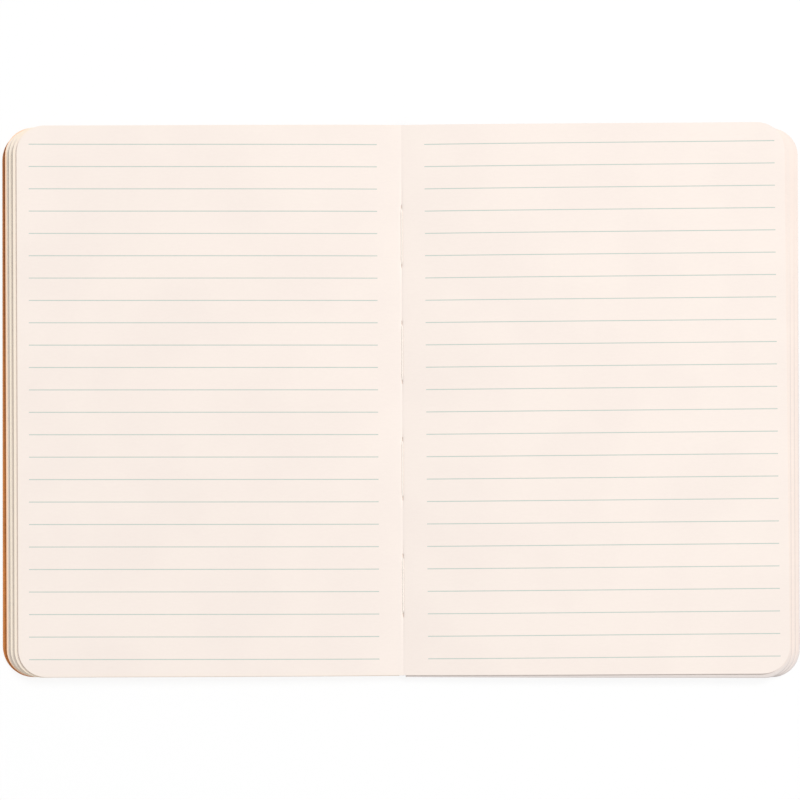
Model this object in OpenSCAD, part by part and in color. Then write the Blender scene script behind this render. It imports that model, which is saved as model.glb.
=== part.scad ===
// An open notebook of sewn sections in a soft card cover, lying flat on a table.
// It is opened at the middle of its middle section, so half of that section lies on each side.
// X runs from the left page to the right page, Y from the tail of the pages to their head, Z up.
// The origin is on the table, under the middle of the fold.

/* [Leaves] */
// Height of the leaves from tail to head
leaf_h = 176; // [140:1:220]
// Width of the top leaf from the fold to the fore-edge
leaf_w = 122.8; // [95:0.1:155]
// Radius of the leaves' outer corners
leaf_corner_r = 8.8; // [3:0.1:12]

/* [Sections] */
// Full sections under the opened one, on each side
full_sections = 3; // [2:1:5]
// Thickness of one pressed section
section_t = 1.2; // [1:0.1:1.8]
// How far each section reaches out past the one above it
section_step = 1.5; // [0.6:0.1:2.2]
// Gap between two sections at the fore-edge, where they part
section_gap = 0.2; // [0.1:0.02:0.4]
// How far in from the fore-edge the sections part
parting_depth = 40; // [15:1:60]
// Turn of the opened section's right half on the stack, towards the head, in degrees
opened_lean = 0.2; // [0:0.05:0.6]
// Turn of the full sections on the right, towards the tail, in degrees
right_lean = 0.3; // [0:0.05:0.5]
// How much nearer to the tail the full sections on the right are sewn
right_drop = 0.6; // [0:0.05:0.8]

/* [Gutter] */
// How far the pages dip at the fold
valley_depth = 1.5; // [0.6:0.1:1.8]
// Distance from the fold in which the dip falls to about a third
valley_reach = 20; // [8:1:35]
// Space between the two halves at the fold
fold_gap = 0.1; // [0.04:0.01:0.2]
// Depth of the crease that the thread lies in
crease_depth = 0.4; // [0.3:0.05:0.5]
// Half the width of that crease
crease_half_w = 0.55; // [0.4:0.05:0.8]

/* [Sewing] */
// Stitches along the fold
stitches = 4; // [2:1:5]
// Length of a stitch between its two holes
stitch_length = 18; // [10:0.5:24]
// Distance from the head of the leaves to the first sewing hole
head_margin = 26.8; // [15:0.1:32]
// Distance from the tail of the leaves to the last sewing hole
tail_margin = 19.5; // [12:0.1:32]
// Diameter of the thread
thread_d = 0.5; // [0.3:0.05:0.6]
// Diameter of the sewing holes
hole_d = 0.9; // [0.8:0.05:1.2]
// Radius of the thread's bend into a hole
thread_bend_r = 0.4; // [0.35:0.05:0.6]
// Play between the thread and the paper
thread_clearance = 0.06; // [0.03:0.01:0.1]

/* [Cover] */
// Thickness of the cover card
cover_t = 0.5; // [0.3:0.05:0.8]
// How far the cover reaches past the leaves at head and tail
cover_overhang = 0; // [0:0.1:3]
// How far the cover is glued on towards the tail
cover_shift = 0.5; // [0:0.05:0.6]
// How far the front cover shows past its lowest section
front_overhang = 1.1; // [0:0.1:4]
// How far the back cover shows past its lowest section, less than 0 where that section hides it
back_overhang = -0.3; // [-0.5:0.1:4]
// Radius of the covers' outer corners
cover_corner_r = 10; // [4:0.5:14]

/* [Spine] */
// Half the distance between the two cover creases
spine_half_w = 2.8; // [2.2:0.1:3.6]
// Play between the spine and the folded sections that bridge it
spine_clearance = 0.2; // [0.1:0.05:0.3]
// Paper left between that play and the bottom of the crease
bridge_t = 0.4; // [0.2:0.05:0.6]

/* [Hidden] */
$fn = 64;

// Points along each curved surface of the stack, closer together near the fold
curve_steps = 20;
// Points along the underside of a section where it is free
parting_steps = 5;
// A cut or a blank runs past what it meets by this much
past = 1;

// The stack of one half, pressed: the full sections and half of the opened one
stack_t = (full_sections + 0.5) * section_t;
// Reach of the lowest section from the fold
stack_w = leaf_w + full_sections * section_step;
// Distance from the fold at which the sections begin to part
parting_x = leaf_w - parting_depth;
// Top of the whole stack at its highest, the fore-edge of the top leaf
stack_top = cover_t + stack_t + full_sections * section_gap;
// Top of the paper at the fold, before the crease
fold_z = cover_t + stack_t - valley_depth;

// The spine arches up to just under the sections' folds
spine_rise = fold_z - crease_depth - bridge_t - spine_clearance;
// Radius and centre height of the arch, from its rise and its width
arch_r = (pow(spine_half_w, 2) + pow(spine_rise, 2)) / (2 * spine_rise);
arch_z = spine_rise - arch_r;
cover_h = leaf_h + 2 * cover_overhang;

// Distance from one stitch to the next, so that the row ends at its margins
stitch_pitch = (leaf_h - head_margin - tail_margin - stitch_length) / (stitches - 1);

// The thread rests in the crease, which has this slope
crease_slope = atan2(crease_depth, crease_half_w);
thread_z = fold_z - crease_depth + (thread_d / 2 + thread_clearance) / cos(crease_slope);
// The thread's ends stop above the spine
thread_end_z = spine_rise + spine_clearance;

cover_colour = "#c98a50";
spine_colour = "#c08048";
paper_colour = "#fbf0e6";
thread_colour = "#f4ecdf";

// Share of the stack's height that lies under the top of section k, counted from the cover
function share_below(k) = min(k / (full_sections + 0.5), 1);

// Reach of section k from the fold: each one steps back from the one under it
function section_w(k) = stack_w - (k - 1) * section_step;

// Thickness of the pressed stack at a distance x from the fold
function stack_at(x) = stack_t - valley_depth * exp(-x / valley_reach);

// Gap between two sections at a distance x from the fold
function parting(x) = section_gap * pow(max(0, (x - parting_x) / parting_depth), 2);

// Height of the top of section k at a distance x from the fold: the gaps under it lift it
function section_z(k, x) = cover_t + share_below(k) * stack_at(x) + (k - 1) * parting(x);

// Distances from the fold, up to w, closer together near the fold
function curve_x(w) = [for (i = [0:curve_steps]) w * pow(i / curve_steps, 2)];

// Middle of stitch i, counted from the head
function stitch_y(i) = leaf_h / 2 - head_margin - stitch_length / 2 - (i - 1) * stitch_pitch;

// An outline from x_in to x_out with its two outer corners rounded
module panel_outline(x_in, x_out, h, r) {
    translate([x_in, -h / 2]) square([x_out - r - x_in, h]);
    translate([x_in, r - h / 2]) square([x_out - x_in, h - 2 * r]);
    for (side = [-1, 1])
        translate([x_out - r, side * (h / 2 - r)]) circle(r);
}

// A profile in X and Z, run along Y for the length given
module along_y(length) {
    rotate([90, 0, 0]) linear_extrude(length, center = true) children();
}

// The space on the right of the fold that paper may fill
module right_of_fold() {
    translate([fold_gap / 2, -leaf_h, 0]) cube([2 * stack_w, 2 * leaf_h, 2 * stack_top]);
}

// Underside of section k where it is free: the lowest lies on the cover, the others are parted
function underside(k) = k == 1 ? [[stack_w + past, cover_t]] :
    let (free_w = section_w(k) + past - parting_x)
    concat(
        [[parting_x, cover_t]],
        [for (i = [0:parting_steps])
            let (x = parting_x + free_w * i / parting_steps) [x, section_z(k - 1, x) + parting(x)]]
    );

// Section k over a core of the full height: past the core it is free of the section below
module section_profile(k) {
    top_x = curve_x(section_w(k) + past);
    polygon(concat(
        [[-past, cover_t]],
        underside(k),
        [for (i = [0:curve_steps]) let (x = top_x[curve_steps - i]) [x, section_z(k, x)]],
        [[-past, section_z(k, 0)]]
    ));
}

// Section k, turned about the fold by lean and moved towards the tail by drop
module section(k, lean, drop) {
    intersection() {
        along_y(2 * leaf_h) section_profile(k);
        translate([0, -drop, 0]) rotate([0, 0, lean])
            linear_extrude(2 * stack_top)
                panel_outline(-4 * past, section_w(k), leaf_h, leaf_corner_r);
    }
}

// The hollow over the spine, which the folds of the sections bridge
module spine_tunnel() {
    along_y(2 * leaf_h) translate([0, arch_z]) circle(arch_r + spine_clearance);
}

// The crease of the opened section, a shallow V along the fold
module fold_crease() {
    along_y(2 * leaf_h)
        polygon([
            [0, fold_z - crease_depth],
            [2 * crease_half_w, fold_z + crease_depth],
            [-2 * crease_half_w, fold_z + crease_depth]
        ]);
}

// Two holes for each stitch, through the fold from the crease to the spine's hollow
module sewing_holes() {
    for (i = [1:stitches], side = [-1, 1])
        translate([0, stitch_y(i) + side * stitch_length / 2, 0])
            cylinder(h = stack_top, d = hole_d);
}

// Half of the open block, on the right of the fold, with the turns and the drop of its sections
module page_half(top_lean, full_lean, full_drop) {
    difference() {
        intersection() {
            union() {
                for (k = [1:full_sections]) section(k, full_lean, full_drop);
                section(full_sections + 1, top_lean, 0);
            }
            right_of_fold();
        }
        spine_tunnel();
        fold_crease();
        sewing_holes();
    }
}

module left_pages() {
    color(paper_colour) mirror([1, 0, 0]) page_half(0, 0, 0);
}

module right_pages() {
    color(paper_colour) page_half(opened_lean, -right_lean, right_drop);
}

// A cover panel on the right, from its crease to its reach past the lowest section
module cover_panel(overhang) {
    translate([0, -cover_shift, 0]) linear_extrude(cover_t)
        panel_outline(spine_half_w, stack_w + overhang, cover_h, cover_corner_r);
}

module front_cover() {
    color(cover_colour) mirror([1, 0, 0]) cover_panel(front_overhang);
}

module back_cover() {
    color(cover_colour) cover_panel(back_overhang);
}

// The cover's middle strip, arched up between the two creases
module spine() {
    color(spine_colour)
        translate([0, -cover_shift, 0]) along_y(cover_h)
            intersection() {
                translate([0, arch_z]) difference() {
                    circle(arch_r);
                    circle(arch_r - cover_t);
                }
                translate([-spine_half_w, 0]) square([2 * spine_half_w, spine_rise + past]);
            }
}

// One end of a stitch: the bend off the fold and the leg down its hole, at the origin of Y
module stitch_end() {
    translate([0, thread_bend_r, thread_z - thread_bend_r])
        rotate([90, 0, 90]) rotate([0, 0, 90])
            rotate_extrude(angle = 90) translate([thread_bend_r, 0]) circle(d = thread_d, $fn = 24);
    translate([0, 0, thread_end_z])
        cylinder(h = thread_z - thread_bend_r - thread_end_z, d = thread_d, $fn = 24);
}

// One stitch: a run of thread in the crease that dips into a hole at each end
module stitch(i) {
    color(thread_colour)
        translate([0, stitch_y(i), 0]) {
            rotate([90, 0, 0])
                translate([0, thread_z, 0])
                    cylinder(h = stitch_length - 2 * thread_bend_r, d = thread_d, center = true, $fn = 24);
            for (turn = [0, 180])
                rotate([0, 0, turn]) translate([0, -stitch_length / 2, 0]) stitch_end();
        }
}

front_cover();
spine();
back_cover();
left_pages();
right_pages();
for (i = [1:stitches])
    stitch(i);
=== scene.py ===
import math
import random

import bmesh
import bpy
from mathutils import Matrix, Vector


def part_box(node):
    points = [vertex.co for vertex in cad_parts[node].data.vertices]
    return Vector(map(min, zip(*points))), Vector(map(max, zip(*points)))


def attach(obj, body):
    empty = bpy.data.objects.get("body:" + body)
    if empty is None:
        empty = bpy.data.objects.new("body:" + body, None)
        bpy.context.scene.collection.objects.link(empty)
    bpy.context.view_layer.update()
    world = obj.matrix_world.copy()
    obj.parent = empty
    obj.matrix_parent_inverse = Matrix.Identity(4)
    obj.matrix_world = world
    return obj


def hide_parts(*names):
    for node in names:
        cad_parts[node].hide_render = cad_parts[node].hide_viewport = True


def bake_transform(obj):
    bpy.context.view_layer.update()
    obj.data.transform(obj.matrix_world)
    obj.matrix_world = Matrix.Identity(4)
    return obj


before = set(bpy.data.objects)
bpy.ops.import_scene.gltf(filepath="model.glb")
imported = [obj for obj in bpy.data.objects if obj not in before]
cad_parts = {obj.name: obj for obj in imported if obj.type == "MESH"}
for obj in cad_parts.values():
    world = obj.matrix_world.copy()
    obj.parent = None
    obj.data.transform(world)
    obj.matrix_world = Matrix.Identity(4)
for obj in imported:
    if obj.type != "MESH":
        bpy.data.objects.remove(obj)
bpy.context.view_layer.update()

# Sizes are in millimetres and MM turns them into metres, the unit of every mesh.
MM = 0.001
random.seed(24)


# The frame's own sizes


def box_mm(name):
    """Lowest and highest corner of a solid of the frame, in millimetres."""
    low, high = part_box(name)
    return low / MM, high / MM


PAGES_LOW, PAGES_HIGH = box_mm("left_pages")
FRONT_LOW, FRONT_HIGH = box_mm("front_cover")
_, BACK_HIGH = box_mm("back_cover")
_, SPINE_HIGH = box_mm("spine")

COVER_T = FRONT_HIGH.z
COVER_SHIFT = (FRONT_LOW.y + FRONT_HIGH.y) / 2
COVER_H = FRONT_HIGH.y - FRONT_LOW.y
SPINE_HALF_W = SPINE_HIGH.x
SPINE_RISE = SPINE_HIGH.z
LEAF_H = PAGES_HIGH.y - PAGES_LOW.y
STACK_W = -PAGES_LOW.x

# Sizes that the solids are built from too
FULL_SECTIONS = 3
SECTION_T = 1.2
# How far each section reaches out past the one above it
SECTION_STEP = 1.5
# Gap between two sections at the fore-edge, and how far in from there they part
SECTION_GAP = 0.2
PARTING_DEPTH = 40
LEAF_CORNER_R = 8.8
COVER_CORNER_R = 10
# How far the pages dip at the fold, and how far from it the dip falls to about a third
VALLEY_DEPTH = 1.5
VALLEY_REACH = 20
CREASE_HALF_W = 0.55
# Turn of the full sections on the right, and how much nearer to the tail they are sewn
RIGHT_LEAN = math.radians(0.3)
RIGHT_DROP = 0.6

# Turn of the opened section's right half
OPENED_LEAN = math.radians(0.12)
# How much nearer to the tail the full sections on the left are sewn
LEFT_DROP = 0.22
# Slope of the left fore-edges, which were cut a little out of square and are true at this height
LEAF_BIAS = 0.0045
COVER_BIAS = 0.0022
TRUE_AT = 20

STACK_T = (FULL_SECTIONS + 0.5) * SECTION_T
LEAF_W = STACK_W - FULL_SECTIONS * SECTION_STEP
PARTING_X = LEAF_W - PARTING_DEPTH

# A section is six sheets folded once, twelve leaves thick
SHEETS = 6
LEAVES = 2 * SHEETS
# Share of a leaf's place in the pile that is air, on each side of it
SHEET_AIR = 0.07


# The shape of the stack


def share_below(k):
    """Share of the stack's height under the top of section k, counted from the cover."""
    return min(k / (FULL_SECTIONS + 0.5), 1)


def section_reach(k):
    """How far section k reaches from the fold."""
    return STACK_W - (k - 1) * SECTION_STEP


def stack_at(x):
    """Thickness of the pressed stack at a distance x from the fold."""
    return STACK_T - VALLEY_DEPTH * math.exp(-x / VALLEY_REACH)


def parting(x):
    """Gap between two sections at a distance x from the fold."""
    return SECTION_GAP * max(0, (x - PARTING_X) / PARTING_DEPTH) ** 2


# The share of its size to which a gap opens, the swing of that share, and its half waves from tail to head
GAP_SHARE = 0.6
GAP_SWING = 0.3
GAP_WAVES = (0.8, 2.2)


def make_partings():
    """One slow wave along the fore-edge for each gap: the share of its size to which it opens."""
    waves = [(random.uniform(*GAP_WAVES), random.uniform(0, 2 * math.pi)) for _ in range(FULL_SECTIONS)]
    return [
        lambda y, n=n, p=p: GAP_SHARE + GAP_SWING * math.sin(n * math.pi * y / LEAF_H + p)
        for n, p in waves
    ]


OPENINGS = {"left": make_partings(), "right": make_partings()}


def height_at(side, k, share, x, y):
    """Height of a level inside section k, which lies at that share of the section's thickness."""
    low, high = share_below(k - 1), share_below(k)
    lift = sum(opening(y) for opening in OPENINGS[side][:k - 1]) * parting(x)
    return COVER_T + (low + (high - low) * share) * stack_at(x) + lift


def half_height(x, reach, height, corner):
    """Half the height of a panel at x, less where its outer corner is rounded."""
    into = x - (reach - corner)
    if into <= 0:
        return height / 2
    return height / 2 - corner + math.sqrt(max(0, corner ** 2 - into ** 2))


def corner_steps(reach, corner, steps):
    """Distances from the fold along a rounded corner, evenly spaced round its arc."""
    return [reach - corner + corner * math.sin(math.pi / 2 * i / steps) for i in range(1, steps + 1)]


# Mesh building

# Points closer than this many metres are one point
MERGE_WITHIN = 1e-7
# Sharper corners than this are rounded where card is cut
CUT_ANGLE = math.radians(50)


class Sheets:
    """Gathers thin sheets, each a grid of columns with an outer and an inner face, into one mesh."""

    def __init__(self):
        self.points, self.faces, self.plan, self.edge = [], [], [], []

    def add(self, columns, tone, keep=lambda i, j: True):
        """columns[i][j] holds (outer point, inner point, plan, distance to the leaf's edge)."""
        wide, tall = len(columns), len(columns[0])
        index = {}

        def corner(i, j, face):
            key = (i, j, face)
            if key not in index:
                outer, inner, plan, edge = columns[i][j]
                index[key] = len(self.points)
                self.points.append([c * MM for c in (inner if face else outer)])
                self.plan.append(plan)
                self.edge.append((edge, tone))
            return index[key]

        kept = {(i, j) for i in range(wide - 1) for j in range(tall - 1) if keep(i, j)}
        for i, j in sorted(kept):
            ring = [(i, j), (i + 1, j), (i + 1, j + 1), (i, j + 1)]
            self.faces.append([corner(*c, 0) for c in ring])
            self.faces.append([corner(*c, 1) for c in reversed(ring)])
            beside = [(i, j - 1), (i + 1, j), (i, j + 1), (i - 1, j)]
            for side, neighbour in enumerate(beside):
                if neighbour not in kept:
                    a, b = ring[side], ring[(side + 1) % 4]
                    self.faces.append([corner(*a, 0), corner(*a, 1), corner(*b, 1), corner(*b, 0)])

    def build(self, name, materials, crease_angle=40):
        """The mesh object, with its flat plan and its edge distances as UV maps."""
        mesh = bpy.data.meshes.new(name)
        mesh.from_pydata(self.points, [], self.faces)
        add_map(mesh, "plan", self.plan)
        add_map(mesh, "edge", self.edge)
        return finish_mesh(name, mesh, materials, crease_angle)


def add_map(mesh, name, values):
    """Stores two numbers for each vertex as a UV map."""
    layer = mesh.uv_layers.new(name=name)
    for loop in mesh.loops:
        layer.data[loop.index].uv = values[loop.vertex_index]


def finish_mesh(name, mesh, materials, crease_angle):
    """Cleans a mesh, turns its faces outward, shades it and links it as an object."""
    work = bmesh.new()
    work.from_mesh(mesh)
    bmesh.ops.remove_doubles(work, verts=work.verts, dist=MERGE_WITHIN)
    bmesh.ops.dissolve_degenerate(work, edges=work.edges, dist=MERGE_WITHIN)
    bmesh.ops.recalc_face_normals(work, faces=work.faces)
    work.to_mesh(mesh)
    work.free()
    mesh.polygons.foreach_set("use_smooth", [True] * len(mesh.polygons))
    mesh.set_sharp_from_angle(angle=math.radians(crease_angle))
    for material in materials:
        mesh.materials.append(material)
    made = bpy.data.objects.new(name, mesh)
    bpy.context.scene.collection.objects.link(made)
    return made


def soften_edges(piece, width):
    """Rounds the sharp edges of a piece a little, as cut card has them."""
    bevel = piece.modifiers.new("cut_edge", "BEVEL")
    bevel.width = width * MM
    bevel.segments = 2
    bevel.limit_method = "ANGLE"
    bevel.angle_limit = CUT_ANGLE
    bpy.context.view_layer.update()
    evaluated = piece.evaluated_get(bpy.context.evaluated_depsgraph_get())
    made = bpy.data.meshes.new_from_object(evaluated)
    piece.modifiers.clear()
    piece.data = made


# Node building


def node(tree, kind, values=None, **settings):
    """Adds a node, sets its options, and fills its inputs with numbers or links."""
    made = tree.nodes.new(kind)
    for option, value in settings.items():
        setattr(made, option, value)
    for name, value in (values or {}).items():
        socket = made.inputs[name]
        if isinstance(value, bpy.types.NodeSocket):
            tree.links.new(value, socket)
        else:
            socket.default_value = value
    return made


def calc(tree, operation, a, b=0.0, c=0.0):
    """A Math node's result."""
    return node(tree, "ShaderNodeMath", {0: a, 1: b, 2: c}, operation=operation).outputs[0]


def product(tree, first, *others):
    """The product of two or more values."""
    for other in others:
        first = calc(tree, "MULTIPLY", first, other)
    return first


def inverse(tree, share):
    """What is left of 1 beside a share."""
    return calc(tree, "SUBTRACT", 1.0, share)


def ramp(tree, value, low, high, to_low=0.0, to_high=1.0, smooth=True):
    """Spreads a value between two limits, clamped."""
    kind = "SMOOTHSTEP" if smooth else "LINEAR"
    inputs = {"Value": value, "From Min": low, "From Max": high, "To Min": to_low, "To Max": to_high}
    return node(tree, "ShaderNodeMapRange", inputs, interpolation_type=kind).outputs["Result"]


def mix_colour(tree, share, a, b):
    """Colour a turning into colour b."""
    made = node(tree, "ShaderNodeMix", data_type="RGBA", clamp_factor=True)
    for socket, value in (("Factor_Float", share), ("A_Color", a), ("B_Color", b)):
        target = next(s for s in made.inputs if s.identifier == socket)
        if isinstance(value, bpy.types.NodeSocket):
            tree.links.new(value, target)
        else:
            target.default_value = value
    return next(s for s in made.outputs if s.identifier == "Result_Color")


def new_group(name, inputs, outputs):
    """A shader node group with named inputs, each with its starting value, and named outputs."""
    group = bpy.data.node_groups.new(name, "ShaderNodeTree")
    for label, kind, start in inputs:
        socket = group.interface.new_socket(label, in_out="INPUT", socket_type=kind)
        if start is not None:
            socket.default_value = start
    for label, kind in outputs:
        group.interface.new_socket(label, in_out="OUTPUT", socket_type=kind)
    given = group.nodes.new("NodeGroupInput").outputs
    result = group.nodes.new("NodeGroupOutput").inputs
    return group, given, result


def place(tree, group, values):
    """Places a group in a material with its own values and gives its outputs."""
    made = tree.nodes.new("ShaderNodeGroup")
    made.node_tree = group
    for name, value in values.items():
        if isinstance(value, bpy.types.NodeSocket):
            tree.links.new(value, made.inputs[name])
        else:
            made.inputs[name].default_value = value
    return made.outputs


FLOAT, VECTOR = "NodeSocketFloat", "NodeSocketVector"


# Bends of the strands: how many lie in a millimetre, and how far they swing
BEND_SCALE = 0.35
BEND_SWING = 1.6
# Shares of the strands and of the fine tooth in the relief
STRAND_RELIEF = 0.6
TOOTH_RELIEF = 0.4


def fibre_group():
    """Paper fibres: long pale strands over a fine tooth, for colour and for relief."""
    group, given, result = new_group(
        "fibre_and_tooth",
        [
            ("Plan", VECTOR, None), ("Fibre Size", FLOAT, 0.5), ("Tooth Size", FLOAT, 0.12),
            ("Stretch", FLOAT, 4.0),
        ],
        [("Fibre", FLOAT), ("Height", FLOAT)],
    )
    squeeze = calc(group, "DIVIDE", 1.0, given["Stretch"])
    squeezed = node(group, "ShaderNodeCombineXYZ", {"X": squeeze, "Y": 1.0, "Z": 1.0}).outputs[0]
    along = node(group, "ShaderNodeVectorMath", {0: given["Plan"], 1: squeezed}, operation="MULTIPLY")
    bent = node(group, "ShaderNodeTexNoise", {"Vector": given["Plan"], "Scale": BEND_SCALE, "Detail": 1.0})
    swing = (BEND_SWING, BEND_SWING, 0.0)
    swirl = node(group, "ShaderNodeVectorMath", {0: bent.outputs["Color"], 1: swing}, operation="MULTIPLY")
    laid = node(group, "ShaderNodeVectorMath", {0: along.outputs[0], 1: swirl.outputs[0]}, operation="ADD")
    fine = calc(group, "DIVIDE", 1.0, given["Fibre Size"])
    strands = node(
        group, "ShaderNodeTexNoise",
        {"Vector": laid.outputs[0], "Scale": fine, "Detail": 3.0, "Roughness": 0.6},
    )
    finer = calc(group, "DIVIDE", 1.0, given["Tooth Size"])
    tooth = node(group, "ShaderNodeTexNoise", {"Vector": given["Plan"], "Scale": finer, "Detail": 2.0})
    fibre = ramp(group, strands.outputs["Fac"], 0.3, 0.7)
    group.links.new(fibre, result["Fibre"])
    raised = product(group, fibre, STRAND_RELIEF)
    height = calc(group, "ADD", raised, product(group, tooth.outputs["Fac"], TOOTH_RELIEF))
    group.links.new(height, result["Height"])
    return group


def cloud_group():
    """Slow clouds of tone, as paper and card have across a sheet."""
    group, given, result = new_group(
        "tone_clouds",
        [("Plan", VECTOR, None), ("Cloud Size", FLOAT, 30.0), ("Darkest", FLOAT, 0.97)],
        [("Tone", FLOAT)],
    )
    slow = calc(group, "DIVIDE", 1.0, given["Cloud Size"])
    clouds = node(group, "ShaderNodeTexNoise", {"Vector": given["Plan"], "Scale": slow, "Detail": 2.0})
    tone = ramp(group, clouds.outputs["Fac"], 0.35, 0.65, given["Darkest"], 1.0)
    group.links.new(tone, result["Tone"])
    return group


# Ragged places in a millimetre of a cut edge, and the least width of its mask
RAGGED_SCALE = 1.4
LEAST_MASK_WIDTH = 0.02


# The mask carries the edge tint and the card's paler core, and also painted shadow and painted reflection
# on the paper
def edge_group():
    """A mask that is strongest at a cut edge and fades inward with a ragged border."""
    group, given, result = new_group(
        "cut_edge_mask",
        [
            ("Plan", VECTOR, None), ("Distance", FLOAT, 5.0), ("Width", FLOAT, 0.8),
            ("Raggedness", FLOAT, 0.5),
        ],
        [("Edge Mask", FLOAT)],
    )
    rough = node(
        group, "ShaderNodeTexNoise",
        {"Vector": given["Plan"], "Scale": RAGGED_SCALE, "Detail": 4.0, "Roughness": 0.7},
    )
    swing = product(group, calc(group, "SUBTRACT", rough.outputs["Fac"], 0.5), given["Raggedness"])
    width = calc(group, "MULTIPLY_ADD", swing, given["Width"], given["Width"])
    inward = calc(group, "DIVIDE", given["Distance"], calc(group, "MAXIMUM", width, LEAST_MASK_WIDTH))
    group.links.new(ramp(group, inward, 1.0, 0.0), result["Edge Mask"])
    return group


# Half the width in which a printed line's border fades
LINE_SOFTNESS = 0.03


def ruling_group():
    """The printed lines: a mask of ink over one page's plan, in millimetres."""
    group, given, result = new_group(
        "ruled_lines",
        [
            ("Plan", VECTOR, None), ("First Line", FLOAT, 80.0), ("Pitch", FLOAT, 7.0),
            ("Lines", FLOAT, 24.0), ("Line Width", FLOAT, 0.3), ("Inner End", FLOAT, 8.0),
            ("Outer End", FLOAT, 119.0), ("Slope", FLOAT, 0.0), ("Margin Lean", FLOAT, 0.0),
        ],
        [("Ink", FLOAT)],
    )
    plan = node(group, "ShaderNodeSeparateXYZ", {"Vector": given["Plan"]}).outputs
    level = calc(group, "MULTIPLY_ADD", plan["X"], product(group, given["Slope"], -1.0), plan["Y"])
    count = calc(group, "DIVIDE", calc(group, "SUBTRACT", given["First Line"], level), given["Pitch"])
    nearest = calc(group, "ROUND", count)
    off = product(group, calc(group, "ABSOLUTE", calc(group, "SUBTRACT", count, nearest)), given["Pitch"])
    half = product(group, given["Line Width"], 0.5)
    outside = calc(group, "ADD", half, LINE_SOFTNESS)
    line = ramp(group, off, outside, calc(group, "SUBTRACT", half, LINE_SOFTNESS))
    past_last = calc(group, "SUBTRACT", given["Lines"], 0.5)
    in_rows = product(
        group, calc(group, "GREATER_THAN", nearest, -0.5), calc(group, "LESS_THAN", nearest, past_last),
    )
    out = calc(group, "ABSOLUTE", calc(group, "MULTIPLY_ADD", plan["Y"], given["Margin Lean"], plan["X"]))
    in_width = product(
        group, calc(group, "GREATER_THAN", out, given["Inner End"]),
        calc(group, "LESS_THAN", out, given["Outer End"]),
    )
    group.links.new(product(group, line, product(group, in_rows, in_width)), result["Ink"])
    return group


FIBRES, CLOUDS, CUT_EDGE, RULING = fibre_group(), cloud_group(), edge_group(), ruling_group()


def new_material(name):
    """An empty material with its Principled shader wired to the output."""
    material = bpy.data.materials.new(name)
    material.use_nodes = True
    tree = material.node_tree
    tree.nodes.clear()
    output = tree.nodes.new("ShaderNodeOutputMaterial")
    shader = tree.nodes.new("ShaderNodeBsdfPrincipled")
    tree.links.new(shader.outputs[0], output.inputs["Surface"])
    return material, tree, shader


def plan_of(tree):
    """The flat plan of a piece, in millimetres."""
    return node(tree, "ShaderNodeUVMap", uv_map="plan").outputs[0]


def edge_of(tree):
    """The distance to a piece's cut edge, in millimetres, and its tone number."""
    stored = node(tree, "ShaderNodeUVMap", uv_map="edge").outputs[0]
    return node(tree, "ShaderNodeSeparateXYZ", {"Vector": stored}).outputs[:2]


def relief(tree, shader, height, strength, distance):
    """Gives a shader its surface relief, distance in millimetres."""
    bump = node(tree, "ShaderNodeBump", {"Height": height, "Strength": strength, "Distance": distance * MM})
    tree.links.new(bump.outputs[0], shader.inputs["Normal"])


# Ivory writing paper and its blue-grey printed lines
PAPER_IVORY = (0.95, 0.852, 0.785, 1)
# The paper's darker tone in its clouds and fibres, and the colour towards which the lower sections' painted
# shade turns it
PAPER_SHADE = (0.865, 0.768, 0.718, 1)
# Edge tint: yellowing that is lighter than the shaded paper, so it also paints light onto the shaded bands
PAPER_EDGE = (0.95, 0.845, 0.665, 1)
# Painted shadow: the grey of shaded paper on the right's lower sections, and the darker grey of the shaded
# gap along their cut edge
PAPER_PAINTED_SHADOW = (0.755, 0.698, 0.672, 1)
PAINTED_SHADOW_LINE = (0.55, 0.5, 0.485, 1)
# Painted reflection: the orange that the card throws onto the paper next to it
CARD_REFLECTION = (0.99, 0.6, 0.385, 1)
RULING_GREY = (0.5, 0.6, 0.545, 1)
LINE_PITCH = 7.1486
LINE_WIDTH = 0.28
LINE_COUNT = 24
FIRST_LINE = 81.61
LEFT_LINES = {"Inner End": 7.7, "Outer End": 119.05, "Slope": -0.0032, "Margin Lean": 0.0017}
RIGHT_LINES = {"Inner End": 7.66, "Outer End": 119.67, "Slope": 0.0032, "Margin Lean": 0.0014}

# How much the clouds, the fibres and a tone number of 1 turn the paper to its shade; for the full sections
# the tone number is mostly painted shade
PAPER_CLOUDS = 0.22
PAPER_FIBRES = 0.14
PAPER_DEPTH = 0.8
# Yellowed edge tint, partly real yellowing and partly painted light that brightens the shaded lower leaves:
# its width, its shares on the top leaf and on those under it, and what the lit right side lacks
YELLOW_WIDTH = 1.6
YELLOW_SHARES = (0.12, 0.62)
YELLOW_LACK = 0.85
UNDER_TONES = (0.0, 0.1)
# Painted reflection of the orange card on the section next to it: its width and share, and the tone numbers
# that tell that section
REFLECTION_WIDTH = 0.75
REFLECTION_SHARE = 0.8
REFLECTION_TONES = (0.26, 0.33)
# Painted shadow of the sections above, on the right's lower sections: the tone numbers that take it, and
# the heights on the page from which it grows towards the tail
PAINTED_SHADOW_TONES = (0.3, 0.7)
PAINTED_SHADOW_HEIGHTS = (70.0, -10.0)
# The painted shadow round the lower corner: where it thickens, from this share to all, and its widths above
# and there
CORNER_HEIGHTS = (-77.0, -86.0)
ABOVE_CORNER = 0.4
PAINTED_SHADOW_WIDTHS = (0.5, 3.2)
# How far up a face looks before the painted shadow lies on it, as the Z of its normal
PAINTED_SHADOW_FACING = (0.3, 0.8)
# Width and share of the darker painted line of shade along the cut edge
PAINTED_SHADOW_LINE_WIDTH = 0.5
PAINTED_SHADOW_LINE_SHARE = 0.85


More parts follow.
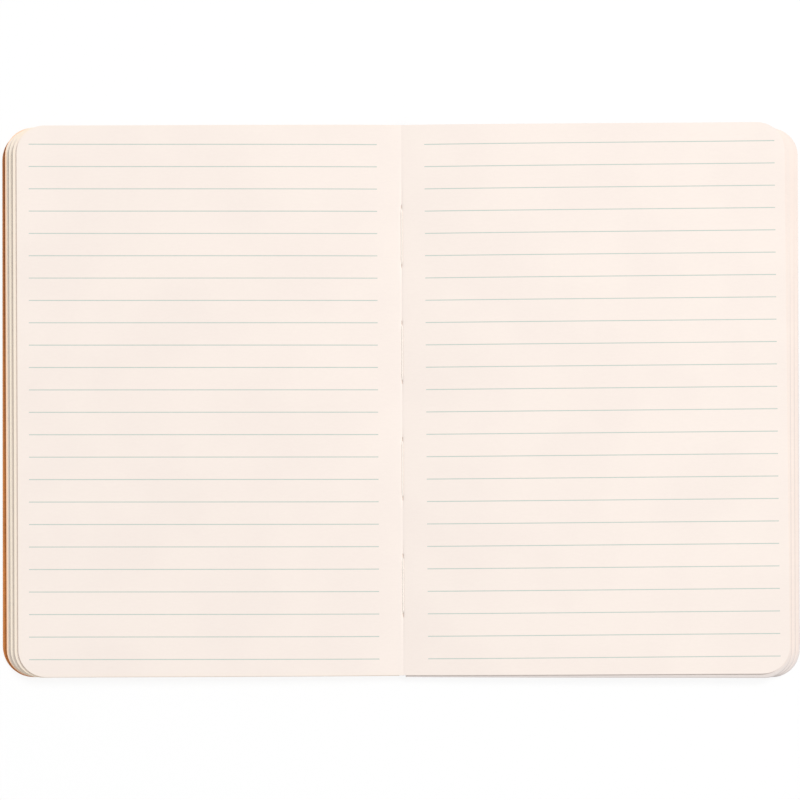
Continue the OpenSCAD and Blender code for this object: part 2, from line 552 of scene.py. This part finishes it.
def leaf_paper():
    """Uncoated ivory paper with a soft tooth, ruled in fine blue-grey lines."""
    material, tree, shader = new_material("leaf_paper")
    plan = plan_of(tree)
    edge, tone = edge_of(tree)
    across, along = node(tree, "ShaderNodeSeparateXYZ", {"Vector": plan}).outputs[:2]
    on_right = calc(tree, "GREATER_THAN", across, 0.0)
    on_left = inverse(tree, on_right)
    fibres = place(tree, FIBRES, {"Plan": plan, "Fibre Size": 0.45, "Tooth Size": 0.14, "Stretch": 5.0})
    clouds = place(tree, CLOUDS, {"Plan": plan, "Cloud Size": 28.0, "Darkest": 0.0})
    at_edge = {"Plan": plan, "Distance": edge}

    shade = product(tree, inverse(tree, clouds["Tone"]), PAPER_CLOUDS)
    shade = calc(tree, "MULTIPLY_ADD", inverse(tree, fibres["Fibre"]), PAPER_FIBRES, shade)
    shade = calc(tree, "MULTIPLY_ADD", tone, PAPER_DEPTH, shade)
    colour = mix_colour(tree, shade, PAPER_IVORY, PAPER_SHADE)

    # The fore-edges under the top leaf are tinted yellow, most on the left: partly real yellowing, partly
    # painted light on the shaded bands there
    yellow = place(tree, CUT_EDGE, {**at_edge, "Width": YELLOW_WIDTH, "Raggedness": 0.5})["Edge Mask"]
    yellow = product(tree, yellow, ramp(tree, tone, *UNDER_TONES, *YELLOW_SHARES))
    yellow = product(tree, yellow, calc(tree, "MULTIPLY_ADD", on_right, -YELLOW_LACK, 1.0))
    colour = mix_colour(tree, yellow, colour, PAPER_EDGE)

    # Painted reflection: the orange card's light thrown on the section next to it on the left
    reflected = place(tree, CUT_EDGE, {**at_edge, "Width": REFLECTION_WIDTH, "Raggedness": 0.8})["Edge Mask"]
    reflected = product(tree, reflected, product(tree, on_left, ramp(tree, tone, *REFLECTION_TONES, 0.0, REFLECTION_SHARE)))
    colour = mix_colour(tree, reflected, colour, CARD_REFLECTION)

    # Painted shadow lies on what faces up on the right, most in the lower outer corner, with a darker
    # painted line of shade along the cut
    facing = node(tree, "ShaderNodeTexCoord").outputs["Normal"]
    upward = node(tree, "ShaderNodeSeparateXYZ", {"Vector": facing}).outputs["Z"]
    painted_shadow = product(
        tree, on_right,
        ramp(tree, tone, *PAINTED_SHADOW_TONES), ramp(tree, along, *PAINTED_SHADOW_HEIGHTS),
        ramp(tree, along, *CORNER_HEIGHTS, ABOVE_CORNER, 1.0), ramp(tree, upward, *PAINTED_SHADOW_FACING),
    )
    painted_shadow_width = ramp(tree, along, *CORNER_HEIGHTS, *PAINTED_SHADOW_WIDTHS)
    painted_shadow_edge = place(tree, CUT_EDGE, {**at_edge, "Width": painted_shadow_width, "Raggedness": 0.5})["Edge Mask"]
    colour = mix_colour(tree, product(tree, painted_shadow_edge, painted_shadow), colour, PAPER_PAINTED_SHADOW)
    line = place(tree, CUT_EDGE, {**at_edge, "Width": PAINTED_SHADOW_LINE_WIDTH, "Raggedness": 0.8})["Edge Mask"]
    colour = mix_colour(tree, product(tree, line, product(tree, painted_shadow, PAINTED_SHADOW_LINE_SHARE)), colour, PAINTED_SHADOW_LINE)

    ruled = {
        "Plan": plan, "First Line": FIRST_LINE, "Pitch": LINE_PITCH, "Lines": LINE_COUNT,
        "Line Width": LINE_WIDTH,
    }
    left = place(tree, RULING, {**ruled, **LEFT_LINES})["Ink"]
    right = place(tree, RULING, {**ruled, **RIGHT_LINES})["Ink"]
    ink = calc(tree, "ADD", product(tree, right, on_right), product(tree, left, on_left))
    ink = product(tree, ink, ramp(tree, fibres["Fibre"], 0.0, 1.0, 0.86, 1.0))
    colour = mix_colour(tree, ink, colour, RULING_GREY)

    tree.links.new(colour, shader.inputs["Base Color"])
    tree.links.new(ramp(tree, fibres["Fibre"], 0.0, 1.0, 0.92, 0.8), shader.inputs["Roughness"])
    shader.inputs["Specular IOR Level"].default_value = 0.22
    relief(tree, shader, fibres["Height"], 0.35, 0.02)
    return material


# Burnt-orange card, its darker clouds, and the paler fibre of its cut edge
CARD_ORANGE = (0.62, 0.225, 0.05, 1)
CARD_BROWN = (0.34, 0.112, 0.03, 1)
CARD_CORE = (0.72, 0.33, 0.12, 1)

# How much the clouds, the fibres and the darkening towards the head turn the orange to brown
CARD_CLOUDS = 0.2
CARD_FIBRES = 0.35
CARD_HEAD = 0.65
# Heights between which the card darkens towards the head
HEAD_HEIGHTS = (-60.0, 75.0)
CORE_WIDTH = 0.55
CORE_SHARE = 0.35


def cover_card():
    """Dyed card of the cover: matte, with a fine pressed grain and a paler fibre along its cut edges."""
    material, tree, shader = new_material("cover_card")
    plan = plan_of(tree)
    edge = edge_of(tree)[0]
    along = node(tree, "ShaderNodeSeparateXYZ", {"Vector": plan}).outputs["Y"]
    fibres = place(tree, FIBRES, {"Plan": plan, "Fibre Size": 0.7, "Tooth Size": 0.2, "Stretch": 3.0})
    clouds = place(tree, CLOUDS, {"Plan": plan, "Cloud Size": 22.0, "Darkest": 0.0})
    cut = {"Plan": plan, "Distance": edge, "Width": CORE_WIDTH, "Raggedness": 1.3}
    core = place(tree, CUT_EDGE, cut)["Edge Mask"]
    shade = product(tree, inverse(tree, clouds["Tone"]), CARD_CLOUDS)
    shade = calc(tree, "MULTIPLY_ADD", inverse(tree, fibres["Fibre"]), CARD_FIBRES, shade)
    shade = calc(tree, "ADD", shade, ramp(tree, along, *HEAD_HEIGHTS, 0.0, CARD_HEAD))
    colour = mix_colour(tree, shade, CARD_ORANGE, CARD_BROWN)
    colour = mix_colour(tree, product(tree, core, CORE_SHARE), colour, CARD_CORE)
    tree.links.new(colour, shader.inputs["Base Color"])
    tree.links.new(ramp(tree, fibres["Fibre"], 0.0, 1.0, 0.72, 0.58), shader.inputs["Roughness"])
    shader.inputs["Specular IOR Level"].default_value = 0.35
    relief(tree, shader, fibres["Height"], 0.5, 0.05)
    return material


# Unbleached sewing thread
THREAD_PALE = (0.985, 0.925, 0.865, 1)
THREAD_SHADE = (0.925, 0.865, 0.8, 1)


def sewing_thread():
    """Waxed thread of three plies, with fine strands along each ply."""
    material, tree, shader = new_material("sewing_thread")
    plan = plan_of(tree)
    fibres = place(tree, FIBRES, {"Plan": plan, "Fibre Size": 0.07, "Tooth Size": 0.05, "Stretch": 12.0})
    shade = product(tree, inverse(tree, fibres["Fibre"]), 0.5)
    tree.links.new(mix_colour(tree, shade, THREAD_PALE, THREAD_SHADE), shader.inputs["Base Color"])
    tree.links.new(ramp(tree, fibres["Fibre"], 0.0, 1.0, 0.7, 0.5), shader.inputs["Roughness"])
    shader.inputs["Specular IOR Level"].default_value = 0.4
    relief(tree, shader, fibres["Height"], 0.5, 0.02)
    return material


LEAF_PAPER, COVER_CARD, SEWING_THREAD = leaf_paper(), cover_card(), sewing_thread()


# The sewn sections


def lie_askew(x, y, lean, drop):
    """A point of a section that is turned about the fold and sewn nearer to the tail."""
    return (
        x * math.cos(lean) - y * math.sin(lean),
        x * math.sin(lean) + y * math.cos(lean) - drop,
    )


# Rows across a leaf from tail to head, as shares of its height, closer together at both ends
END_ROWS = [0.45, 0.485, 0.497, 0.5]
LEAF_ROWS = [-row for row in reversed(END_ROWS)] + [i / 20 - 0.4 for i in range(17)] + END_ROWS
# Steps round a leaf's corner
CORNER_STEPS = 10
# How far a leaf's edges may stand back from the neatly cut block
TRIM = 0.07
# How far the lowest leaf of a section reaches past its highest
SECTION_SLANT = 0.16
# Distances from the fold at which a leaf is divided before its corner, and the least last step
LEAF_DIVISIONS = [3, 4.2, 6, 9, 13, 18, 25, 34, 46, 62, PARTING_X, 92, 100, 107]
LAST_STEP = 1


def leaf_columns(reach, start, bends=()):
    """Distances from the fold along a leaf: close at the fold and round the corner."""
    straight = reach - LEAF_CORNER_R
    between = [x for x in (*bends, *LEAF_DIVISIONS) if start < x < straight - LAST_STEP]
    return [start, *between, straight, *corner_steps(reach, LEAF_CORNER_R, CORNER_STEPS)]


def across_at(side, x, y, reach, bias):
    """X of a place x out from the fold; the left fore-edges were cut out of square by that slope."""
    return x if side == "right" else -x * (1 + bias * (y - TRUE_AT) / reach)


def leaf_point(side, k, shares, x, row, reach, height, lean, drop):
    """One place on a leaf: its outer and inner point, its plan and its distance to the edge."""
    sign = -1 if side == "left" else 1
    half = half_height(x, reach, height, LEAF_CORNER_R)
    y = row * 2 * half
    across = across_at(side, x, y, reach, LEAF_BIAS)
    px, py = lie_askew(across, y, lean, drop)
    outer, inner = ((px, py, height_at(side, k, share, abs(px), py)) for share in shares)
    plan = (across + sign * (LEAF_W - reach), y)
    return outer, inner, plan, max(0.0, min(reach - x, half - abs(y)))


# How far out from the fold the sheets of each full section are folded, clear of the spine
SECTION_FOLDS = [2.72, 2.2, 1.25]
# Steps round a sheet's fold at the spine, and where that narrow turn lies on the paper's plan
TURN_STEPS = 8
TURN_PLAN = 0.1
# Painted shade, darker for lower sections and on the right: tone number of the paper under each side's
# lowest section, and how much less each section up has
DEEPEST_SHADE = {"left": (0.5, 0.12), "right": (1.15, 0.15)}
# A sheet's least share of its section's tone number
LEAST_TONE = 0.85


def sheet_shares(sheet):
    """Where the outer and the inner face of a folded sheet lie in its section, below its middle."""
    return (sheet + SHEET_AIR) / LEAVES, (sheet + 1 - SHEET_AIR) / LEAVES


def section_turn(side, k, shares, centre_x, thickness, lean, drop):
    """The columns of a sheet where it turns round its section's fold."""
    sign = -1 if side == "left" else 1
    columns = []
    for i in range(1, TURN_STEPS):
        angle = math.pi * i / TURN_STEPS - math.pi / 2
        column = []
        for row in LEAF_ROWS:
            y = row * LEAF_H
            points = []
            for share in shares:
                radius = (0.5 - share) * thickness
                px, py = lie_askew(sign * (centre_x - radius * math.cos(angle)), y, lean, drop)
                level = height_at(side, k, 0.5, centre_x, py)
                points.append((px, py, level + radius * math.sin(angle)))
            column.append((*points, (sign * TURN_PLAN, y), LEAF_H / 2 - abs(y)))
        columns.append(column)
    return columns


def full_section(side, k):
    """Section k: six sheets, one inside the other, folded at the spine."""
    lean, drop = (-RIGHT_LEAN, RIGHT_DROP) if side == "right" else (0, LEFT_DROP)
    deepest, less = DEEPEST_SHADE[side]
    thickness = (share_below(k) - share_below(k - 1)) * stack_at(SECTION_FOLDS[k - 1])
    centre_x = SECTION_FOLDS[k - 1] + thickness / 2
    sheets = Sheets()
    for sheet in range(SHEETS):
        lower = sheet_shares(sheet)
        upper = tuple(1 - share for share in lower)
        # The section's tone number is painted shade; its random share is the sheet's own tone
        tone = (deepest - less * k) * random.uniform(LEAST_TONE, 1)
        legs = []
        for shares, level in ((lower, sheet), (upper, LEAVES - 1 - sheet)):
            slant = SECTION_SLANT * level / (LEAVES - 1)
            reach = section_reach(k) - slant - random.uniform(0, TRIM)
            height = LEAF_H - 2 * random.uniform(0, TRIM)
            legs.append([
                [leaf_point(side, k, shares, x, row, reach, height, lean, drop) for row in LEAF_ROWS]
                for x in leaf_columns(reach, centre_x)
            ])
        turn = section_turn(side, k, lower, centre_x, thickness, lean, drop)
        sheets.add(legs[0][::-1] + turn + legs[1], tone)
    piece = sheets.build(f"{side}_section_{k}", [LEAF_PAPER])
    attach(piece, f"{side}_block")
    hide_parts(f"{side}_pages")


# The opened section crosses the fold; these are its columns there
FOLD_COLUMNS = [0.09, 0.2, 0.32, 0.43, 0.55, 0.7, 0.85, 1.0, 1.25, 1.6, 2.1]
# The needle's slits: their size, how far outward they are drawn, and their width at shares of their length
SLIT_HALF_W = 0.2
SLIT_HALF_L = 0.95
SLIT_OUTWARD = 0.15
SLIT_SHAPE = [(-1, 0.3), (-0.6, 0.8), (0, 1), (0.6, 0.8), (1, 0.3)]
# A slit has rows of its own this far past its ends, and other rows stay this far from it
SLIT_BORDER = 0.5
SLIT_CLEARANCE = 0.6
# The innermost column lies this share into the slit, and the next one this far past the innermost
SLIT_INNER = 0.6
SLIT_STEP = 0.03
# The needle's slit has stayed open in this many of the sheets; it has closed in those under them
SLIT_SHEETS = 4


def stitch_spans():
    """The middle and the half length of each stitch along the fold."""
    spans = []
    for name in sorted(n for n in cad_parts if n.startswith("stitch_")):
        low, high = box_mm(name)
        spans.append((name, (low.y + high.y) / 2, (high.y - low.y) / 2))
    return spans


STITCHES = stitch_spans()
THREAD_LOW, THREAD_HIGH = box_mm(STITCHES[0][0])
THREAD_D = THREAD_HIGH.x - THREAD_LOW.x
# The pulled thread presses this far into the paper
THREAD_SINK = 0.08
THREAD_Z = THREAD_HIGH.z - THREAD_D / 2 - THREAD_SINK
THREAD_END_Z = THREAD_LOW.z


def slit_centres():
    """Where the needle went through: at both ends of each stitch, drawn outward a little."""
    return [
        middle + end * (half - THREAD_D / 2 + SLIT_OUTWARD)
        for _, middle, half in STITCHES for end in (-1, 1)
    ]


SLITS = slit_centres()


def opened_rows():
    """Rows of the opened section: the leaf's rows, and closer ones at each sewing hole."""
    clear = SLIT_HALF_L + SLIT_CLEARANCE
    rows = [row * LEAF_H for row in LEAF_ROWS]
    rows = [y for y in rows if all(abs(y - slit) > clear for slit in SLITS)]
    for slit in SLITS:
        rows += [slit + share * SLIT_HALF_L for share, _ in SLIT_SHAPE]
        rows += [slit - SLIT_HALF_L - SLIT_BORDER, slit + SLIT_HALF_L + SLIT_BORDER]
    return sorted(rows)


OPENED_ROWS = opened_rows()


def same(a, b):
    """True where two sizes are the same but for rounding."""
    return abs(a - b) < 1e-6


def slit_width(y):
    """Half the width of the sewing hole at y, or None where the paper is whole."""
    for slit in SLITS:
        for share, width in SLIT_SHAPE:
            if same(y, slit + share * SLIT_HALF_L):
                return width * SLIT_HALF_W
    return None


def beside_slit(x, y):
    """A column's place x at the row y: the two columns at the fold follow the sewing holes' outline."""
    width = slit_width(y)
    if width is not None and same(x, SLIT_HALF_W):
        return max(width, FOLD_COLUMNS[0] + SLIT_STEP)
    if width is not None and same(x, FOLD_COLUMNS[0]):
        return min(FOLD_COLUMNS[0], width * SLIT_INNER)
    return x


def in_slit(low, high):
    """True between two rows of the same sewing hole."""
    return any(abs((low + high) / 2 - slit) < SLIT_HALF_L for slit in SLITS)


# The pucker that the pulled thread leaves round each hole, longer along the fold than across it
PUCKER_DEPTH = 0.08
PUCKER_SIZE = 0.9
PUCKER_STRETCH = 1.6
# The crease is deepest where the thread presses it down and much shallower between the stitches
PRESSED_CREASE = 0.26
SLACK_CREASE = 0.02
SLACK_FADE = 3.0
# Power of the crease's side: 1 is a straight V
CREASE_POWER = 1.3


def pressed(y):
    """How far the thread presses the crease down at y, from 0 between the stitches to 1 along them."""
    outside = min(max(0, abs(y - middle) - half) for _, middle, half in STITCHES)
    near = max(0, 1 - outside / SLACK_FADE)
    return near * near * (3 - 2 * near)


def fold_dip(x, y):
    """How far the sheets dip at the fold: the crease, and a pucker where the thread pulls."""
    depth = SLACK_CREASE + (PRESSED_CREASE - SLACK_CREASE) * pressed(y)
    crease = depth * max(0, 1 - abs(x) / CREASE_HALF_W) ** CREASE_POWER
    across = (x / PUCKER_SIZE) ** 2
    pull = max(math.exp(-across - ((y - slit) / PUCKER_SIZE / PUCKER_STRETCH) ** 2) for slit in SLITS)
    return crease + PUCKER_DEPTH * pull


def dipped(point):
    """A place on the opened section, lowered by the fold's crease and the sewing's pull."""
    outer, inner, plan, edge = point
    dip = fold_dip(outer[0], outer[1])
    return (outer[0], outer[1], outer[2] - dip), (inner[0], inner[1], inner[2] - dip), plan, edge


def opened_section():
    """The opened section: six sheets that cross the fold, with the ruled centre spread on top."""
    k = FULL_SECTIONS + 1
    sheets = Sheets()
    for sheet in range(SHEETS):
        top = sheet == 0
        shares = (1 - (sheet + SHEET_AIR) / SHEETS, 1 - (sheet + 1 - SHEET_AIR) / SHEETS)
        tone = 0.0 if top else random.random()
        trim = 0 if top else random.uniform(0, TRIM)
        reach, height = section_reach(k) - trim, LEAF_H - 2 * trim

        def column(side, x, lean, reach=reach):
            return [
                dipped(leaf_point(side, k, shares, beside_slit(x, y), y / LEAF_H, reach, height, lean, 0))
                for y in OPENED_ROWS
            ]

        xs = leaf_columns(reach, FOLD_COLUMNS[0], FOLD_COLUMNS[1:])
        left = [column("left", x, 0) for x in reversed(xs)]
        right = [column("right", x, OPENED_LEAN) for x in xs]
        centre = len(left)

        def whole(i, j):
            at_fold = centre - 2 <= i <= centre + 1
            return not (sheet < SLIT_SHEETS and at_fold and in_slit(OPENED_ROWS[j], OPENED_ROWS[j + 1]))

        sheets.add(left + [column("right", 0, 0, section_reach(k))] + right, tone, whole)
    piece = sheets.build("opened_section", [LEAF_PAPER], crease_angle=30)
    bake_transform(piece)
    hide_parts("left_pages", "right_pages")


for side in ("left", "right"):
    for k in range(1, FULL_SECTIONS + 1):
        full_section(side, k)
opened_section()


# The thread

PLIES = 3
# Length of one twist of the plies
PLY_PITCH = 1.5
PLY_SIDES = 8
# The plies are this much thicker than three that just touch, because they press into one another
PLY_SWELL = 1.08
# Width of one ply on the plan of the strands
PLY_PLAN = 0.8
THREAD_STEP = 0.1
# Length over which a stitch's end slants down into its hole, its steps, and the power that rounds it
THREAD_DIVE = 1.6
DIVE_STEPS = 12
DIVE_POWER = 1.5


def thread_path(half):
    """Points along one stitch in Y and Z, from one end deep in its hole to the other."""
    leg = half - THREAD_D / 2
    deep = THREAD_Z - THREAD_END_Z
    shares = [i / DIVE_STEPS for i in range(DIVE_STEPS + 1)]
    dive = [
        (-leg + THREAD_DIVE * share ** DIVE_POWER, THREAD_END_Z + deep * math.sin(math.pi / 2 * share))
        for share in shares
    ]
    steps = round((leg - THREAD_DIVE) / THREAD_STEP)
    run = [(-(leg - THREAD_DIVE) * (1 - i / steps), THREAD_Z) for i in range(1, steps)]
    half_way = dive + run
    return half_way + [(0.0, THREAD_Z)] + [(-y, z) for y, z in reversed(half_way)]


def slope_along(path, i):
    """Direction of a path at its point i, in radians above level."""
    before, after = path[max(0, i - 1)], path[min(len(path) - 1, i + 1)]
    return math.atan2(after[1] - before[1], after[0] - before[0])


def stitch(name, middle, half):
    """One stitch: three plies twisted together, lying in the crease and dipping at both ends."""
    ply_r = THREAD_D / 2 / (1 + 2 / math.sqrt(3))
    offset = THREAD_D / 2 - ply_r
    path = thread_path(half)
    phase = random.uniform(0, 2 * math.pi)
    across = Vector((1, 0, 0))
    points, faces, plan = [], [], []
    for ply in range(PLIES):
        travelled, last, rings = 0.0, path[0], []
        for i, step in enumerate(path):
            travelled += math.dist(step, last)
            last = step
            slope = slope_along(path, i)
            up = Vector((0, -math.sin(slope), math.cos(slope)))
            turn = 2 * math.pi * (travelled / PLY_PITCH + ply / PLIES) + phase
            centre = Vector((0, step[0] + middle, step[1]))
            centre += offset * (math.cos(turn) * across + math.sin(turn) * up)
            ring = []
            for side in range(PLY_SIDES):
                angle = 2 * math.pi * side / PLY_SIDES
                outward = math.cos(angle) * across + math.sin(angle) * up
                ring.append(len(points))
                points.append((centre + ply_r * PLY_SWELL * outward) * MM)
                plan.append((travelled, (ply + side / PLY_SIDES) * PLY_PLAN))
            rings.append(ring)
        for a, b in zip(rings, rings[1:]):
            for i in range(PLY_SIDES):
                j = (i + 1) % PLY_SIDES
                faces.append([a[i], a[j], b[j], b[i]])
        faces.append(list(reversed(rings[0])))
        faces.append(rings[-1])
    mesh = bpy.data.meshes.new(name)
    mesh.from_pydata([tuple(p) for p in points], [], faces)
    add_map(mesh, "plan", plan)
    piece = finish_mesh(name + "_thread", mesh, [SEWING_THREAD], crease_angle=60)
    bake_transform(piece)
    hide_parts(name)


for name, middle, half in STITCHES:
    stitch(name, middle, half)


# The cover

# Distances from the crease at which the card beside it is divided, and from the fold at which the rest is
CREASE_DIVISIONS = [0.4 * i for i in range(9)]
COVER_DIVISIONS = [8, 14, 25, 45, 70, 95, 110]
COVER_CORNER_STEPS = 14
# Distances from the tail and from the head at which the card is divided
EDGE_INSETS = [0, 0.25, 0.8, 2.5, 8, 25, 55]
# Width of the card's softened edges
CARD_SOFTENED = 0.12
# Share of the cover's shift that it has at the fold
SHIFT_AT_FOLD = 0.3


def cover_slip(x, reach):
    """How far the cover lies towards the tail at x: it is glued on a little askew, less at the fold."""
    return COVER_SHIFT * (SHIFT_AT_FOLD + (1 - SHIFT_AT_FOLD) * min(1, x / reach))


def cover_panel(name, side, reach):
    """One cover: a flat panel of card with two rounded corners, divided closely beside its crease."""
    sign = -1 if side == "left" else 1
    sheets = Sheets()
    xs = [SPINE_HALF_W + x for x in CREASE_DIVISIONS] + COVER_DIVISIONS + [reach - COVER_CORNER_R]
    xs += corner_steps(reach, COVER_CORNER_R, COVER_CORNER_STEPS)
    columns = []
    for x in xs:
        half = half_height(x, reach, COVER_H, COVER_CORNER_R)
        scale = half / (COVER_H / 2)
        tail_rows = [-half + inset * scale for inset in EDGE_INSETS]
        column = []
        for y in tail_rows + [0.0] + [-row for row in reversed(tail_rows)]:
            slid = y + cover_slip(x, reach)
            across = across_at(side, x, y, reach, COVER_BIAS)
            bottom = (across, slid, 0)
            top = (across, slid, COVER_T)
            column.append((top, bottom, (sign * x, y), max(0.0, min(reach - x, half - abs(y)))))
        columns.append(column)
    sheets.add(columns, 0.0)
    piece = sheets.build(name, [COVER_CARD])
    soften_edges(piece, CARD_SOFTENED)
    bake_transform(piece)
    return piece


# Steps over the spine's arch, the degrees left at its feet, and the short foot's width and slope
ARCH_STEPS = 24
ARCH_REST = 4
FOOT_W = 0.12
FOOT_SLOPE = 20.0
# The plan's middle lies this far along the strip
SPINE_PLAN = 4


def spine_line():
    """Points along the middle of the strip in X and Z, each with its slope in degrees."""
    arch_r = (SPINE_HALF_W ** 2 + SPINE_RISE ** 2) / (2 * SPINE_RISE)
    arch_z = SPINE_RISE - arch_r
    middle_r = arch_r - COVER_T / 2
    foot = math.degrees(math.acos((COVER_T / 2 - arch_z) / middle_r)) - ARCH_REST
    flat = [(-SPINE_HALF_W, COVER_T / 2, 0.0), (-SPINE_HALF_W + FOOT_W, COVER_T / 2, FOOT_SLOPE)]
    arch = []
    for i in range(ARCH_STEPS + 1):
        angle = foot * (2 * i / ARCH_STEPS - 1)
        at = math.radians(angle)
        arch.append((middle_r * math.sin(at), arch_z + middle_r * math.cos(at), -angle))
    return flat + arch + [(-x, z, -slope) for x, z, slope in reversed(flat)]


def spine_strip():
    """The strip of card between the creases, arched up under the sections' folds."""
    sheets = Sheets()
    rows = [-COVER_H / 2 + inset for inset in EDGE_INSETS]
    rows += [0.0] + [-row for row in reversed(rows)]
    line = spine_line()
    columns = []
    walked, last = 0.0, line[0]
    for x, z, slope in line:
        walked += math.dist((x, z), last[:2])
        last = (x, z)
        lean = math.radians(slope)
        dx, dz = -math.sin(lean) * COVER_T / 2, math.cos(lean) * COVER_T / 2
        column = []
        for y in rows:
            slid = y + cover_slip(abs(x), STACK_W)
            top = (x + dx, slid, z + dz)
            bottom = (x - dx, slid, max(0.0, z - dz))
            column.append((top, bottom, (walked - SPINE_PLAN, y), COVER_H / 2 - abs(y)))
        columns.append(column)
    sheets.add(columns, 0.0)
    piece = sheets.build("spine_strip", [COVER_CARD])
    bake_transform(piece)
    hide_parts("spine")


front = cover_panel("front_cover_card", "left", -FRONT_LOW.x)
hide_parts("front_cover")
back = cover_panel("back_cover_card", "right", BACK_HIGH.x)
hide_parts("back_cover")
spine_strip()


# The table, the light and the camera

# Share of the floor that the camera sees beside the object; the rest is clear, so that it stays white
SHADOW_SHARE = 0.12
# Metres from the object's middle between which the shadow fades out
SHADOW_REACH = (0.25, 0.9)
# Half the width of the floor in metres, and how far it lies under the covers in millimetres
FLOOR_HALF = 6.0
FLOOR_DROP = 0.02
# The floor's two whites, and its grains in a metre
FLOOR_GREY = (0.97, 0.97, 0.97, 1)
FLOOR_WHITE = (1, 1, 1, 1)
GRAIN_SCALE = 900.0


def table_white():
    """A white table that keeps the object's shadow close by and fades into the white round it."""
    material = bpy.data.materials.new("table_white")
    material.use_nodes = True
    tree = material.node_tree
    tree.nodes.clear()
    output = tree.nodes.new("ShaderNodeOutputMaterial")
    place_of = node(tree, "ShaderNodeTexCoord").outputs["Object"]
    away = node(tree, "ShaderNodeVectorMath", {0: place_of}, operation="LENGTH").outputs["Value"]
    near = ramp(tree, away, SHADOW_REACH[1], SHADOW_REACH[0])
    grain = node(tree, "ShaderNodeTexNoise", {"Vector": place_of, "Scale": GRAIN_SCALE, "Detail": 2.0})
    colour = mix_colour(tree, ramp(tree, grain.outputs["Fac"], 0.3, 0.7), FLOOR_GREY, FLOOR_WHITE)
    matt = node(tree, "ShaderNodeBsdfDiffuse", {"Color": colour})
    clear = node(tree, "ShaderNodeBsdfTransparent")
    seen = node(tree, "ShaderNodeLightPath").outputs["Is Camera Ray"]
    clearness = product(tree, seen, inverse(tree, product(tree, near, SHADOW_SHARE)))
    mixed = node(tree, "ShaderNodeMixShader", {0: clearness, 1: matt.outputs[0], 2: clear.outputs[0]})
    tree.links.new(mixed.outputs[0], output.inputs["Surface"])
    return material


def add_floor():
    """A wide table top just under the covers."""
    mesh = bpy.data.meshes.new("table_top")
    corners = [(x * FLOOR_HALF, y * FLOOR_HALF, 0) for x, y in ((-1, -1), (1, -1), (1, 1), (-1, 1))]
    mesh.from_pydata(corners, [], [(0, 1, 2, 3)])
    mesh.materials.append(table_white())
    floor = bpy.data.objects.new("table_top", mesh)
    floor.location.z = -FLOOR_DROP * MM
    bpy.context.scene.collection.objects.link(floor)


# Strength of the surround's light on the object; to the camera and in reflections it is plain white
AMBIENT = 0.565
# The lamp's power in watts, and its width and place in metres
KEY_POWER = 63.5
KEY_SIZE = 1.2
KEY_PLACE = Vector((1.5, 1.4, 2.45))


def add_light():
    """A white surround, and one large soft lamp high up on the right, towards the head."""
    world = bpy.data.worlds.new("white_surround")
    bpy.context.scene.world = world
    world.use_nodes = True
    tree = world.node_tree
    tree.nodes.clear()
    output = tree.nodes.new("ShaderNodeOutputWorld")
    path = node(tree, "ShaderNodeLightPath").outputs
    seen = calc(tree, "MAXIMUM", path["Is Camera Ray"], path["Is Glossy Ray"])
    seen = calc(tree, "MAXIMUM", seen, path["Is Transmission Ray"])
    strength = ramp(tree, seen, 0.0, 1.0, AMBIENT, 1.0, smooth=False)
    surround = node(tree, "ShaderNodeBackground", {"Color": (1, 1, 1, 1), "Strength": strength})
    tree.links.new(surround.outputs[0], output.inputs["Surface"])
    lamp = bpy.data.lights.new("key_lamp", "AREA")
    lamp.shape = "DISK"
    lamp.size = KEY_SIZE
    lamp.energy = KEY_POWER
    lamp.color = (1, 1, 1)
    holder = bpy.data.objects.new("key_lamp", lamp)
    holder.location = KEY_PLACE
    holder.rotation_euler = KEY_PLACE.to_track_quat("Z", "Y").to_euler()
    bpy.context.scene.collection.objects.link(holder)


# The photograph's view: 620 mm above the table, almost straight down, from a little nearer to the tail
CAMERA_HEIGHT = 620
CAMERA_TILT = math.radians(1.39)
CAMERA_ROLL = math.radians(-0.22)
# What the camera looks at, and the width that its picture has there
AIM = Vector((-0.7, -0.32, PAGES_HIGH.z))
VIEW_WIDTH = 254.9
VIEW_DISTANCE = CAMERA_HEIGHT - PAGES_HIGH.z
SENSOR = 36
# Nearest and farthest distance that the camera sees, in metres
CLIP = (0.01, 20)


def add_camera():
    """The camera, looking down on the opened pages."""
    camera = bpy.data.cameras.new("camera")
    camera.sensor_width = SENSOR
    camera.lens = SENSOR * VIEW_DISTANCE / VIEW_WIDTH
    camera.clip_start, camera.clip_end = CLIP
    holder = bpy.data.objects.new("camera", camera)
    holder.rotation_euler = (CAMERA_TILT, 0, CAMERA_ROLL)
    away = holder.rotation_euler.to_matrix() @ Vector((0, 0, 1))
    holder.location = (AIM + away * VIEW_DISTANCE / away.z) * MM
    bpy.context.scene.collection.objects.link(holder)
    bpy.context.scene.camera = holder


add_floor()
add_light()
add_camera()
bpy.context.scene.view_settings.view_transform = "Standard"
